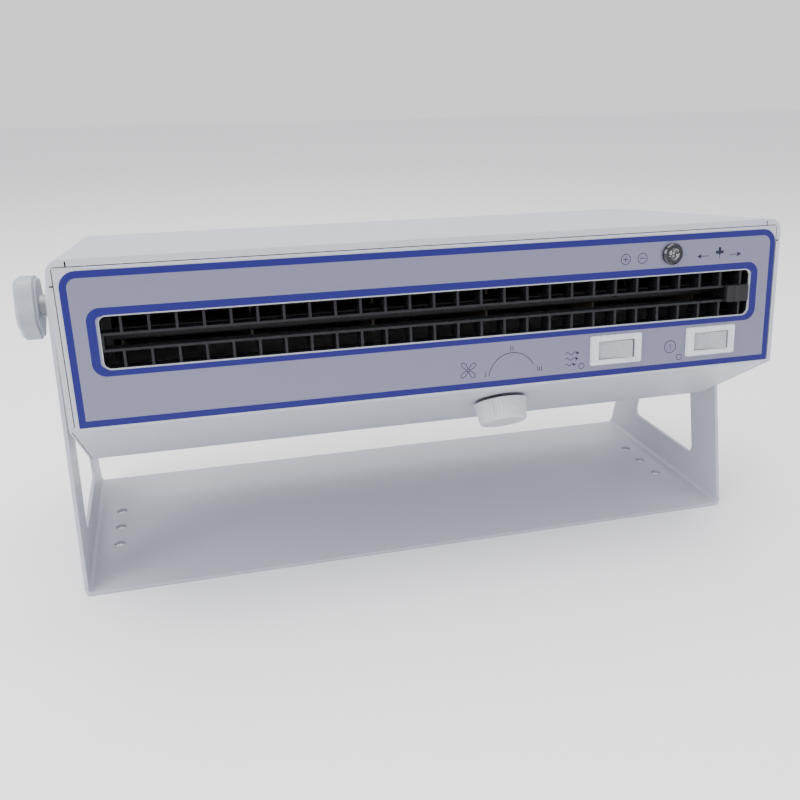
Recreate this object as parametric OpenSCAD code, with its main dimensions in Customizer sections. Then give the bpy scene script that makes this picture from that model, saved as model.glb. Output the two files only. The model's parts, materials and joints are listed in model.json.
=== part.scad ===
// Ionizing blower: a wide slot blower hung between the arms of a folded stand.
// Origin: centre of the stand's underside. +X along the outlet, +Y to the back, +Z up.

/* [Head] */
// Width of the sheet metal head
head_w = 470; // [440:1:520]
// Depth of the head from its face to its back
head_depth = 219; // [205:1:240]
// Height of the upright front face
face_h = 98.5; // [94:0.5:108]
// How far back the lower front slope runs
slope_run = 82; // [74:1:86]
// How far down the lower front slope drops
slope_drop = 42; // [38:1:46]
// Sheet thickness of the cover, chassis and rear panel
sheet_t = 1.2; // [1:0.1:1.6]
// Outside bend radius of the cover's long top edges
cover_bend_r = 8; // [6:0.5:11]
// Outside bend radius of the chassis folds
fold_r = 2.4; // [2:0.1:4]
// Width of the cover's front hem along the top
hem_top = 4; // [3:0.5:6]
// Width of the cover's front hem along each side
hem_side = 3; // [2.5:0.5:5]
// Width of the relief slits in the cover's hem
slit_w = 0.9; // [0.6:0.1:1.5]
// Distance of each relief slit from the head's corner
slit_in = 11; // [10:0.5:16]
// Distance of the side slits below the head's top
slit_down = 15; // [12:0.5:20]
// Assembly gap between sheets that lie edge to edge
sheet_gap = 0.5; // [0.3:0.1:0.8]

/* [Tilt pivot] */
// Pivot axis behind the front face
pivot_back = 144; // [136:1:150]
// Pivot axis below the top of the head
pivot_down = 42.4; // [38:0.2:50]
// Pivot axis above the stand's underside
pivot_h = 184; // [176:1:210]
// Upward tilt of the head as it stands
rest_tilt = 6; // [0:1:12]
// Width of the space between the head and each arm
side_gap = 12.5; // [8:0.5:18]
// Diameter of the clamping studs
stud_d = 8; // [6:0.5:10]
// Running gap around each stud in its nut, per side
stud_fit = 0.05; // [0.02:0.01:0.09]
// Clearance around each stud in the sheets, per side
stud_clear = 0.4; // [0.3:0.1:0.8]
// Side of the square nut plates inside the head
nut_plate = 30; // [26:1:36]
// Thickness of the nut plates
nut_t = 4; // [3:0.5:5]
// Outside diameter of the spacer bushes
spacer_d = 24; // [20:1:30]

/* [Stand] */
// Depth of the stand's base
stand_depth = 190; // [180:1:220]
// Sheet thickness of the stand
stand_t = 2.5; // [2:0.1:3]
// Inside bend radius of the stand
stand_bend_r = 3; // [2:0.5:5]
// How much narrower an arm gets per side for each mm of height
arm_taper = 0.25; // [0.2:0.01:0.28]
// Height of an arm above the pivot axis
arm_rise = 26; // [22:1:32]
// Corner radius at the top of an arm
arm_top_r = 20; // [14:1:21]
// Corner radius at the foot of an arm
arm_foot_r = 3; // [2:0.5:8]
// Height of the plain strip below each arm's window
window_sill = 28; // [24:1:36]
// Height of the plain plate from the window to the pivot axis
window_top = 50; // [40:1:60]
// Width of the strip beside each window
window_strip = 37; // [32:1:42]
// Corner radius of the windows
window_r = 6; // [3:0.5:9]

/* [Base holes] */
// Distance between the two rows of base holes
hole_span_x = 458; // [420:1:464]
// Pitch of the three holes in each row
hole_pitch = 28; // [24:1:34]
// Diameter of the base holes
hole_d = 8.5; // [6:0.5:10]

/* [Clamp knobs] */
// Diameter across the lobes
clamp_d = 47; // [40:1:56]
// Depth of the hollows between the lobes
clamp_lobe = 2.6; // [1.5:0.1:4]
// Thickness of a clamp knob
clamp_t = 14.5; // [12:0.5:20]
// Bevel on a clamp knob's rim
clamp_bevel = 2.2; // [1.5:0.1:3]
// Diameter of the steel collar behind a clamp knob
collar_d = 16; // [13:0.5:20]
// Length of the steel collar
collar_l = 9; // [7:0.5:12]

/* [Front panel] */
// Width of the printed overlay
overlay_w = 460; // [430:1:462]
// Height of the overlay
overlay_h = 90.3; // [86:0.1:91.5]
// Radius of the overlay's two top corners
overlay_r = 9.5; // [6:0.5:14]
// Thickness of the overlay film
overlay_t = 0.5; // [0.3:0.1:0.8]
// Centre of the overlay to the right of the head's centre
overlay_x = 1; // [0:0.1:1.5]
// Bottom edge of the overlay above the face's lower edge
overlay_up = 1.6; // [1.5:0.1:2.5]
// Gap between the overlay and the edges of what passes through it
overlay_gap = 0.8; // [0.4:0.1:1.2]

/* [Outlet grille] */
// Width of the outlet opening
outlet_w = 423.6; // [380:0.5:428]
// Height of the outlet opening
outlet_h = 30.4; // [28:0.2:31.5]
// Centre of the outlet below the top of the head
outlet_down = 48.2; // [46:0.2:50]
// Centre of the outlet to the right of the head's centre
outlet_x = 1.2; // [0:0.1:1.5]
// Corner radius of the outlet opening
outlet_r = 4; // [3:0.5:5]
// Number of upright bars
bar_count = 27; // [21:1:30]
// Pitch of the upright bars
bar_pitch = 15.6; // [13.5:0.1:15.8]
// Thickness of an upright bar
bar_t = 1.6; // [1.2:0.1:2.4]
// Depth of the grille from front to back
grille_depth = 12; // [9:0.5:13]
// Height of the channel between the two rows of cells
channel_h = 8; // [7:0.2:9]
// Thickness of the rails above and below the channel
rail_t = 1.5; // [1.2:0.1:2]
// Width of the grille's flange behind the panel
flange_w = 4; // [3:0.5:4.5]
// Thickness of the grille's flange
flange_t = 1.5; // [1.2:0.1:2.5]

/* [Point cleaner] */
// Width of the sliding finger block
slider_w = 16; // [12:0.5:20]
// Height of the finger block
slider_h = 11; // [10:0.2:12]
// How far the finger block stands out of the rails
slider_out = 5; // [3.5:0.5:7]
// Gap between the finger block's parked place and the channel's end
slider_park = 2; // [1.5:0.5:5]
// Sliding clearance between the cleaner and the rails, per side
slider_gap = 0.3; // [0.2:0.05:0.4]
// Length of the brush's bristles
bristle_l = 7; // [5:0.5:8]

/* [Emitter] */
// Number of emitter points
point_count = 13; // [9:1:14]
// Diameter of an emitter point
point_d = 1.8; // [1.4:0.1:2.4]
// Length of an emitter point in front of its bar
point_l = 8; // [6:0.5:9]
// Height of the emitter bar
emitter_h = 10; // [8:0.5:12]
// Depth of the emitter bar
emitter_depth = 12; // [10:0.5:14]
// Gap between the brush and the points
point_gap = 0.6; // [0.4:0.1:1]

/* [Cross-flow fan] */
// Diameter of the impeller
fan_d = 64; // [58:1:66]
// Number of impeller blades
blade_count = 30; // [24:1:34]
// Radial depth of a blade
blade_depth = 7.5; // [6:0.5:9]
// Thickness of a blade
blade_t = 0.9; // [0.8:0.1:1.2]
// Forward curve of a blade across its depth, in degrees
blade_curve = 9; // [4:1:12]
// Number of sections along the impeller
fan_sections = 6; // [4:1:7]
// Thickness of the impeller's rings
ring_t = 1.2; // [1:0.1:2]
// Impeller axis in front of the pivot axis
fan_fore = 10; // [6:1:14]
// Impeller axis below the pivot axis
fan_down = 35; // [33:1:38]
// Gap between the impeller and the scroll where it is narrowest
scroll_gap = 3; // [2.5:0.5:5]
// Thickness of the fan's sheet metal
fan_sheet = 1; // [0.8:0.1:1.2]
// Diameter of the fan's shafts
shaft_d = 6; // [5:0.5:8]
// Running gap around the shafts, per side
shaft_fit = 0.05; // [0.02:0.01:0.09]
// Diameter of the motor
motor_d = 56; // [48:1:58]
// Length of the motor
motor_l = 28; // [22:1:30]

/* [Switches] */
// Width of a rocker switch's rim
switch_w = 37.6; // [36:0.2:42]
// Height of a rocker switch's rim
switch_h = 19.8; // [18:0.2:21]
// How far the rim stands out of the panel
switch_rim = 2.2; // [1.6:0.1:3]
// Depth of a switch behind the panel
switch_depth = 17; // [14:0.5:20]
// Length of a rocker
rocker_w = 23.8; // [22:0.1:24.5]
// Height of a rocker
rocker_h = 11.6; // [10:0.2:12.2]
// Clearance above and below a rocker
rocker_gap = 0.4; // [0.3:0.05:0.6]
// Half of a rocker's swing
rocker_swing = 9; // [6:1:10]
// Centre of the warm air switch from the head's centre
warm_x = 113.5; // [100:0.5:120]
// Centre of the power switch from the head's centre
power_x = 184.8; // [170:0.5:190]
// Centres of both switches below the top of the head
switch_down = 79.4; // [78:0.2:82]

/* [Speed knob] */
// Centre of the speed knob from the head's centre
speed_x = 41.6; // [20:0.5:60]
// Centre of the speed knob along the slope from its front edge
speed_s = 32.8; // [28:0.2:40]
// Diameter of the knob at its skirt
speed_d1 = 36.4; // [32:0.2:40]
// Diameter of the knob at its top
speed_d2 = 32.4; // [28:0.2:36]
// Height of the knob
speed_h = 14.6; // [12:0.2:18]
// Gap between the knob and the slope
speed_lift = 2.3; // [1.5:0.1:3]
// Number of flutes round the knob
flute_count = 48; // [36:4:60]
// Depth of a flute
flute_depth = 0.35; // [0.2:0.05:0.6]
// Direction in which the knob's pointer rests, left of the slope's fall line
speed_rest = 40; // [0:1:90]

/* [Lamp] */
// Centre of the lamp from the head's centre
lamp_x = 152.5; // [140:0.5:160]
// Centre of the lamp below the top of the head
lamp_down = 19; // [16:0.2:22]
// Diameter of the lamp's holder
lamp_d = 14; // [12:0.2:16]
// How far the holder stands out of the panel
lamp_out = 3.4; // [2:0.1:5]

/* [Rear panel] */
// Number of columns of intake slots
slot_cols = 6; // [4:1:6]
// Number of rows of intake slots
slot_rows = 11; // [6:1:11]
// Length of an intake slot
slot_l = 50; // [40:1:52]
// Height of an intake slot
slot_h = 4; // [3:0.5:5]
// Thickness of the intake filter
filter_t = 10; // [6:1:12]
// Centre of the power inlet from the head's centre
inlet_x = 203; // [200:0.5:206]
// Diameter of the cover and rear screws' heads
screw_d = 7; // [6:0.5:8]

/* [Hidden] */
$fn = 48;
eps = 0.01;
cut = 1;

paint = "#dfe0e8";
black = "#1b1c20";
steel = "#9a9da3";
zinc = "#b9bcc2";

front_y = -pivot_back;
back_y = head_depth - pivot_back;
top_z = pivot_down;
bend_z = top_z - face_h;
floor_z = bend_z - slope_drop;
inner_front = front_y + sheet_t;
inner_back = back_y - sheet_t;
inner_floor = floor_z + sheet_t;
inner_half = head_w / 2 - sheet_t;
slope_a = atan2(slope_drop, slope_run);
arm_in = head_w / 2 + side_gap;
arm_out = arm_in + stand_t;
outlet_z = top_z - outlet_down;
outlet_x1 = outlet_x - outlet_w / 2;
outlet_x2 = outlet_x + outlet_w / 2;
grille_back = inner_front + grille_depth;
row_z = channel_h / 2 + rail_t;
channel_end = 1.5;
bar_x1 = outlet_x + 2.7 - (bar_count - 1) * bar_pitch / 2;
switch_z = top_z - switch_down;
case_w = switch_w - 8;
case_h = switch_h - 5.8;
case_back = 4;
pivot_in = 3;
pin_d = 3;
pin_fit = 0.06;
rocker_end_gap = 1.2;
rocker_tip = 5.6;
rocker_valley = 4.4;
rocker_back = 5;
rocker_foot = 4;
rocker_draft = 0.5;
terminal_pitch = 9;
terminal_t = 0.8;
terminal_w = 5;
terminal_l = 7;
rim_step = 0.7;
lamp_stem = lamp_d - 6;
bush_d = 9;
reg_d = 24;
reg_l = 14;
reg_nut_t = 1.5;
tab_w = 18;
tab_h = 26;
flange_up = 14;
shank_d = 3.5;
shank_clear = 0.15;
head_t = 2;
screw_l = 5;
screw_up = flange_up / 2;

slider_x = outlet_x2 - slider_park - slider_w / 2;
carriage_y = grille_back + slider_gap;
carriage_t = 1.6;
bristle_y = carriage_y + carriage_t + bristle_l;
emitter_y = bristle_y + point_gap + point_l;
frame_t = 2;
duct_gap = 0.6;
duct_top = outlet_z + outlet_h / 2 + duct_gap;
duct_floor_z = outlet_z - outlet_h / 2 - duct_gap;
duct_x1 = outlet_x1 - duct_gap;
duct_x2 = outlet_x2 + duct_gap;
fan_y = -fan_fore;
fan_z = -fan_down;
fan_r = fan_d / 2;
motor_room = 12;
motor_x = duct_x2 - motor_l - motor_room;
end_gap = 3;
fan_x1 = duct_x1 + end_gap;
fan_x2 = motor_x - fan_sheet - end_gap;
tongue_r = fan_r + scroll_gap + 1.5;
tongue_y = fan_y - sqrt(pow(tongue_r, 2) - pow(duct_floor_z - fan_z, 2));

slot_land = 8;
slot_web = 5;
intake_x = -25;
intake_z = (top_z + floor_z) / 2;
filter_w = slot_cols * (slot_l + slot_land) + slot_land;
filter_h = slot_rows * (slot_h + slot_web) + slot_web;
inlet_z = floor_z + 38;
fuse_z = inlet_z + 35;

// Unit vector
function unit(v) = v / norm(v);
// Points of an arc of radius r about c from angle a0 to a1 in n steps
function arc(c, r, a0, a1, n = 8) = [for (i = [0:n]) c + r * [cos(a0 + (a1 - a0) * i / n),
                                                            sin(a0 + (a1 - a0) * i / n)]];
// Closed outline with each corner rounded to its own radius
function rounded(p, r, n = 6) = [for (i = [0:len(p) - 1])
  let (q = p[i], a = unit(p[(i + len(p) - 1) % len(p)] - q), b = unit(p[(i + 1) % len(p)] - q),
       h = acos(a * b) / 2, c = q + unit(a + b) * r[i] / sin(h), v = q + a * r[i] / tan(h) - c,
       turn = sign(a[0] * b[1] - a[1] * b[0]) * (180 - 2 * h))
  each (r[i] == 0 ? [q] : arc(c, r[i], atan2(v[1], v[0]), atan2(v[1], v[0]) - turn, n))];
// Open path moved sideways by d, its corners mitred
function shifted(p, d) = [for (i = [0:len(p) - 1])
  let (a = unit(p[i] - p[max(i - 1, 0)] + (i == 0 ? p[1] - p[0] : [0, 0])),
       b = unit(p[min(i + 1, len(p) - 1)] - p[i] + (i == len(p) - 1 ? p[i] - p[i - 1] : [0, 0])),
       n1 = [-a[1], a[0]], n2 = [-b[1], b[0]])
  p[i] + (n1 + n2) * d / (1 + n1 * n2)];
function backwards(p) = [for (i = [len(p) - 1:-1:0]) p[i]];
// Outline of a folded sheet of thickness t, to the left of path p, with outside radius r at each fold
function folded(p, t, r) = let (k = len(p) - 1, q = backwards(shifted(p, t)),
  ro = [for (i = [0:k]) i == 0 || i == k ? 0 : r], ri = [for (i = [0:k]) i == 0 || i == k ? 0 : max(r - t, 0.2)])
  rounded(concat(p, q), concat(ro, ri));
function box_corners(w, h) = [[-w / 2, -h / 2], [w / 2, -h / 2], [w / 2, h / 2], [-w / 2, h / 2]];
function rrect(w, h, r) = rounded(box_corners(w, h), [r, r, r, r]);

// Extrudes a (y, z) outline from x0 over a length of l
module from_x(x0, l) translate([x0, 0, 0]) rotate([90, 0, 90]) linear_extrude(l) children();
// Extrudes an (x, z) outline from y0 over a depth of d
module from_y(y0, d) translate([0, y0 + d, 0]) rotate([90, 0, 0]) linear_extrude(d) children();
// Carries the head's own frame, whose origin is on the pivot axis, to where the head hangs
module head() translate([0, 0, pivot_h]) rotate([-rest_tilt, 0, 0]) children();
// Carries the frame of the lower slope: origin at the knob, +Z out of the slope, +Y up the slope
module slope() translate([speed_x, front_y, bend_z]) rotate([-slope_a, 0, 0])
  translate([0, speed_s, 0]) rotate([180, 0, 0]) children();
// Rod along X from x0 to x1
module rod_x(x0, x1, d) translate([x0, 0, 0]) rotate([0, 90, 0]) cylinder(d = d, h = x1 - x0);

/* Stand */
module arm_outline() {
  foot = stand_depth / 2;
  peak = pivot_h + arm_rise;
  half = foot - arm_taper * peak;
  polygon(rounded([[-foot, 0], [foot, 0], [half, peak], [-half, peak]],
                  [0, 0, arm_top_r, arm_top_r], 10));
}
module window_outline() {
  sill = stand_depth / 2 - window_strip - arm_taper * window_sill;
  lintel = pivot_h - window_top;
  half = stand_depth / 2 - window_strip - arm_taper * lintel;
  polygon(rounded([[-sill, window_sill], [sill, window_sill], [half, lintel], [-half, lintel]],
                  [window_r, window_r, window_r, window_r]));
}
stand_path = [[-arm_out, pivot_h + arm_rise], [-arm_out, 0], [arm_out, 0], [arm_out, pivot_h + arm_rise]];
module stand_bracket() color(paint) difference() {
  intersection() {
    from_y(-stand_depth / 2, stand_depth)
      polygon(folded(stand_path, stand_t, stand_bend_r + stand_t));
    union() {
      from_x(-arm_out - cut, 2 * (arm_out + cut)) arm_outline();
      linear_extrude(stand_bend_r + stand_t)
        polygon(rrect(2 * arm_out + 2 * cut, stand_depth, arm_foot_r));
    }
  }
  from_x(-arm_out - cut, 2 * (arm_out + cut)) window_outline();
  translate([0, 0, pivot_h]) rod_x(-arm_out - cut, arm_out + cut, stud_d + 2 * stud_clear);
  for (x = [-1, 1], i = [-1:1]) translate([x * hole_span_x / 2, i * hole_pitch, -cut])
    cylinder(d = hole_d, h = stand_t + 2 * cut);
}

/* Tilt pivot */
module spacer(side) color(black) head() difference() {
  translate([side > 0 ? head_w / 2 : -arm_in, 0, 0]) rod_x(0, side_gap - sheet_gap, spacer_d);
  rod_x(-arm_out, arm_out, stud_d + 2 * stud_clear);
}
module spacer_left() translate([sheet_gap, 0, 0]) spacer(-1);
module spacer_right() spacer(1);
module nut(side) color(zinc) head() difference() {
  from_x(side > 0 ? inner_half - nut_t : -inner_half, nut_t) polygon(rrect(nut_plate, nut_plate, 3));
  rod_x(-arm_out, arm_out, stud_d + 2 * stud_fit);
}
module nut_plate_left() nut(-1);
module nut_plate_right() nut(1);

knob_x = arm_out + sheet_gap + collar_l;
stud_past = 3;
end_clear = 0.3;
clamp_bore = clamp_t * 0.6;
stud_tip = inner_half - nut_t - stud_past;
// Five soft lobes: the radius swells and sinks five times round the knob
function lobes(d, n = 60) = [for (i = [0:n - 1]) let (a = 360 * i / n)
  (d / 2 - clamp_lobe / 2 * (1 - cos(5 * a))) * [cos(a), sin(a)]];
// Clamp knob along +X from its inner face
module clamp_knob(side) color("#cfd0d6") head() mirror([side > 0 ? 0 : 1, 0, 0])
  translate([knob_x, 0, 0]) rotate([0, 90, 0]) difference() {
    k = (clamp_d - 2 * clamp_bevel) / clamp_d;
    union() {
      linear_extrude(clamp_bevel / 2) polygon(lobes(clamp_d * k));
      translate([0, 0, clamp_bevel / 2]) linear_extrude(clamp_bevel / 2, scale = 1 / k)
        polygon(lobes(clamp_d * k));
      translate([0, 0, clamp_bevel]) linear_extrude(clamp_t - 2 * clamp_bevel) polygon(lobes(clamp_d));
      translate([0, 0, clamp_t - clamp_bevel]) linear_extrude(clamp_bevel, scale = k)
        polygon(lobes(clamp_d));
    }
    translate([0, 0, -cut]) cylinder(d = stud_d, h = clamp_bore + cut);
  }
module clamp_knob_left() clamp_knob(-1);
module clamp_knob_right() clamp_knob(1);
// Stud and knurled collar, turned from one steel bar
module clamp_stud(side) color(steel) head() mirror([side > 0 ? 0 : 1, 0, 0]) {
  rod_x(stud_tip, knob_x + clamp_bore - end_clear, stud_d);
  rod_x(arm_out + sheet_gap, knob_x, collar_d);
}
module clamp_stud_left() clamp_stud(-1);
module clamp_stud_right() clamp_stud(1);

/* Head shell */
side_profile = [[front_y, top_z], [front_y, bend_z], [front_y + slope_run, floor_z],
                [back_y, floor_z], [back_y, top_z]];
function top_arch(w, z, r) = rounded([[-w / 2, floor_z - 2 * cut], [w / 2, floor_z - 2 * cut],
                                      [w / 2, z], [-w / 2, z]], [0, 0, r, r], 8);
module cover_shell() difference() {
  intersection() {
    from_x(-head_w / 2, head_w) polygon(side_profile);
    from_y(front_y - cut, head_depth + 2 * cut) polygon(top_arch(head_w, top_z, cover_bend_r));
  }
  from_y(inner_front, head_depth) polygon(top_arch(head_w - 2 * sheet_t, top_z - sheet_t,
                                                  cover_bend_r - sheet_t));
}
module top_cover() color(paint) head() difference() {
  union() {
    cover_shell();
    for (x = [-1, 1]) translate([x * (head_w / 2 - tab_w) - tab_w / 2, inner_back - sheet_t, top_z - tab_h])
      cube([tab_w, sheet_t, tab_h - sheet_t / 2]);
  }
  from_y(front_y - cut, 2 * cut + sheet_t) polygon(top_arch(head_w - 2 * hem_side, top_z - hem_top, 2));
  for (x = [-1, 1]) {
    translate([x * (head_w / 2 - slit_in) - slit_w / 2, front_y - cut, top_z - hem_top - cut])
      cube([slit_w, cut + sheet_t + eps, hem_top + cut - sheet_t]);
    translate([x * (head_w / 2 - sheet_t - hem_side / 2) - hem_side / 2, front_y - cut, top_z - slit_down])
      cube([hem_side, cut + sheet_t + eps, slit_w]);
  }
  rod_x(-arm_out, arm_out, stud_d + 2 * stud_clear);
  side_screw_places() screw_hole();
  rear_top_places() screw_hole();
}

panel_top = top_z - hem_top - sheet_gap;
panel_half = head_w / 2 - hem_side - sheet_gap;
floor_half = inner_half - sheet_gap;
chassis_path = [[front_y, panel_top], [front_y, bend_z], [front_y + slope_run, floor_z],
                [inner_back, floor_z], [inner_back, floor_z + flange_up]];
module chassis() color(paint) head() difference() {
  union() {
    from_x(-floor_half, 2 * floor_half) polygon(folded(chassis_path, sheet_t, fold_r));
    for (x = [-floor_half, floor_half - sheet_t])
      translate([x, front_y + slope_run + fold_r, floor_z + sheet_t / 2])
        cube([sheet_t, head_depth - slope_run - 3 * fold_r, flange_up]);
  }
  for (x = [-1, 1]) translate([x * (panel_half + 5) - 5, front_y - cut, bend_z + fold_r])
    cube([10, sheet_t + cut + sheet_gap, face_h]);
  translate([outlet_x, 0, outlet_z]) from_y(front_y - cut, sheet_t + 2 * cut)
    polygon(rrect(outlet_w, outlet_h, outlet_r));
  for (x = [warm_x, power_x]) translate([x, 0, switch_z]) from_y(front_y - cut, sheet_t + 2 * cut)
    square([case_w + sheet_gap, case_h + sheet_gap], center = true);
  translate([lamp_x, front_y - cut, top_z - lamp_down]) rotate([-90, 0, 0])
    cylinder(d = lamp_stem + sheet_gap, h = sheet_t + 2 * cut);
  slope() translate([0, 0, -sheet_t - cut]) cylinder(d = bush_d + sheet_gap, h = sheet_t + 2 * cut);
  side_screw_places() screw_hole();
  rear_low_places() screw_hole();
}

/* Screws */
// Children are placed with +Z out of the head's side
module side_screw_places() for (x = [-1, 1], t = [0.12, 0.5, 0.88])
  translate([x * head_w / 2, front_y + slope_run + t * (head_depth - slope_run), floor_z + screw_up])
    rotate([0, x * 90, 0]) children();
// Children are placed with +Z out of the head's back
module rear_low_places() for (x = [-1, 0, 1])
  translate([x * (head_w / 2 - 30), back_y, floor_z + screw_up]) rotate([-90, 0, 0]) children();
module rear_top_places() for (x = [-1, 1])
  translate([x * (head_w / 2 - tab_w), back_y, top_z - tab_h / 2]) rotate([-90, 0, 0]) children();
// Pan head screw standing on z = 0 and reaching l below it
module screw(l) {
  cylinder(d = screw_d, h = head_t * 0.6);
  translate([0, 0, head_t * 0.6]) cylinder(d1 = screw_d, d2 = screw_d * 0.6, h = head_t * 0.4);
  translate([0, 0, -l]) cylinder(d = shank_d, h = l + eps);
}
module screw_hole() cylinder(d = shank_d + 2 * shank_clear, h = 2 * screw_l, center = true);
module side_screws() color(steel) head() side_screw_places() screw(screw_l);
module rear_screws() color(steel) head() {
  rear_low_places() screw(screw_l);
  rear_top_places() screw(screw_l);
}

module slot(l, h) {
  square([l - h, h], center = true);
  for (x = [-1, 1]) translate([x * (l - h) / 2, 0]) circle(d = h, $fn = 24);
}
module rear_panel() color(paint) head() difference() {
  half = inner_half - sheet_gap;
  from_y(inner_back, sheet_t)
    polygon(concat([[-half, floor_z], [half, floor_z]],
                   [for (p = top_arch(2 * half, top_z - sheet_t - sheet_gap, cover_bend_r - sheet_t))
                     if (p[1] > 0) p]));
  translate([intake_x, 0, intake_z]) from_y(inner_back - cut, sheet_t + 2 * cut)
    for (i = [0:slot_cols - 1], j = [0:slot_rows - 1])
      translate([(i - (slot_cols - 1) / 2) * (slot_l + slot_land),
                 (j - (slot_rows - 1) / 2) * (slot_h + slot_web)]) slot(slot_l, slot_h);
  translate([inlet_x, 0, inlet_z]) from_y(inner_back - cut, sheet_t + 2 * cut)
    square([inlet_w + sheet_gap, inlet_h + sheet_gap], center = true);
  translate([inlet_x, back_y + cut, fuse_z]) rotate([90, 0, 0])
    cylinder(d = fuse_d + sheet_gap, h = sheet_t + 2 * cut);
  rear_low_places() screw_hole();
  rear_top_places() screw_hole();
}

/* Front panel fittings */
overlay_z = bend_z + overlay_up + overlay_h / 2;
module front_overlay() color("#a9abb8") head() difference() {
  translate([overlay_x, 0, overlay_z]) from_y(front_y - overlay_t, overlay_t)
    polygon(rounded(box_corners(overlay_w, overlay_h), [0, 0, overlay_r, overlay_r]));
  g = overlay_gap;
  translate([outlet_x, 0, outlet_z]) from_y(front_y - cut, 2 * cut)
    polygon(rrect(outlet_w + 2 * g, outlet_h + 2 * g, outlet_r + g));
  for (x = [warm_x, power_x]) translate([x, 0, switch_z]) from_y(front_y - cut, 2 * cut)
    square([case_w + 2 * g, case_h + 2 * g], center = true);
  translate([lamp_x, front_y - cut, top_z - lamp_down]) rotate([-90, 0, 0])
    cylinder(d = lamp_stem + 2 * g, h = 2 * cut);
}

/* Outlet grille and point cleaner */
function bar_x(i) = bar_x1 + i * bar_pitch;
module grille_cells() intersection() {
  translate([outlet_x, 0]) polygon(rrect(outlet_w, outlet_h, outlet_r));
  union() {
    for (i = [0:bar_count]) {
      x1 = i == 0 ? outlet_x1 : bar_x(i - 1) + bar_t / 2;
      x2 = i == bar_count ? outlet_x2 : bar_x(i) - bar_t / 2;
      translate([x1, row_z]) square([x2 - x1, outlet_h]);
      translate([x1, -row_z - outlet_h]) square([x2 - x1, outlet_h]);
    }
    translate([outlet_x1 + channel_end, -channel_h / 2])
      square([outlet_w - 2 * channel_end, channel_h]);
  }
}
module grille_ring(margin) difference() {
  translate([outlet_x, 0]) polygon(rrect(outlet_w + 2 * margin, outlet_h + 2 * margin, outlet_r + margin));
  grille_cells();
}
module outlet_grille() color(black) head() translate([0, 0, outlet_z]) {
  from_y(inner_front, flange_t) grille_ring(flange_w);
  from_y(inner_front + flange_t, grille_depth - flange_t) grille_ring(frame_t);
}
ridge_w = 1;
// The finger block has a raised ridge across its middle
module cleaner_slider() color(black) head() translate([slider_x, 0, outlet_z]) {
  face = inner_front - slider_gap;
  flank = face - slider_out * 0.6;
  top = face - slider_out * 0.75;
  translate([0, 0, -slider_h / 2]) linear_extrude(slider_h)
    polygon([[-slider_w / 2, face], [-slider_w / 2, flank], [-slider_w / 2 + ridge_w, top],
             [-2 * ridge_w, top], [-ridge_w, face - slider_out], [ridge_w, face - slider_out],
             [2 * ridge_w, top], [slider_w / 2 - ridge_w, top], [slider_w / 2, flank], [slider_w / 2, face]]);
  neck = channel_h - 2 * slider_gap;
  from_y(face, carriage_y - face) square([slider_w * 0.6, neck], center = true);
  from_y(carriage_y, carriage_t) polygon(rrect(slider_w - 2, channel_h + 6, 1.5));
}
tuft_d = 2;
tuft_pitch = 2.5;
module cleaner_brush() color("#3a3833") head() translate([slider_x, 0, outlet_z]) {
  base = 2;
  from_y(carriage_y + carriage_t, base) square([slider_w - 6, channel_h], center = true);
  for (x = [-1.5:1.5], z = [-1:1]) translate([x * tuft_pitch, carriage_y + carriage_t + base, z * tuft_pitch])
    rotate([-90, 0, 0]) cylinder(d = tuft_d, h = bristle_l - base, $fn = 16);
}

/* Emitter */
emitter_end = 5;
tip_l = point_l * 0.4;
tip_d = 0.2;
module emitter_bar() color("#24252a") head() translate([0, 0, outlet_z])
  from_x(duct_x1 + emitter_end, duct_x2 - duct_x1 - 2 * emitter_end)
    translate([emitter_y, 0]) polygon(rounded([[0, -emitter_h / 2 + 1], [emitter_depth, -emitter_h / 2],
      [emitter_depth, emitter_h / 2], [0, emitter_h / 2 - 1]], [1.5, 1, 1, 1.5], 3));
module emitter_points() color(steel) head()
  for (i = [0:point_count - 1])
    translate([outlet_x + (i - (point_count - 1) / 2) * 2 * bar_pitch, emitter_y, outlet_z])
      rotate([90, 0, 0]) {
        cylinder(d = point_d, h = point_l - tip_l, $fn = 24);
        translate([0, 0, point_l - tip_l]) cylinder(d1 = point_d, d2 = tip_d, h = tip_l, $fn = 24);
      }
module emitter_brackets() color("#24252a") head() for (x = [duct_x1, duct_x2 - emitter_end])
  from_x(x, emitter_end) polygon([[emitter_y, duct_floor_z], [emitter_y + emitter_depth, duct_floor_z],
    [emitter_y + emitter_depth, duct_top], [emitter_y, duct_top]]);

/* Cross-flow fan */
// The scroll opens steadily from the narrow gap at the back to the duct's ceiling
scroll_a0 = 12;
function scroll_r(a) = fan_r + scroll_gap
  + (duct_top - fan_z - fan_r - scroll_gap) * (a - scroll_a0) / (90 - scroll_a0);
scroll_path = concat([[grille_back, duct_top]], [for (i = [0:14])
  let (a = 90 - (90 - scroll_a0) * i / 14) [fan_y, fan_z] + scroll_r(a) * [cos(a), sin(a)]]);
module scroll_wall() color(zinc) head() from_x(duct_x1, duct_x2 - duct_x1)
  polygon(concat(scroll_path, backwards(shifted(scroll_path, fan_sheet))));
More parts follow.
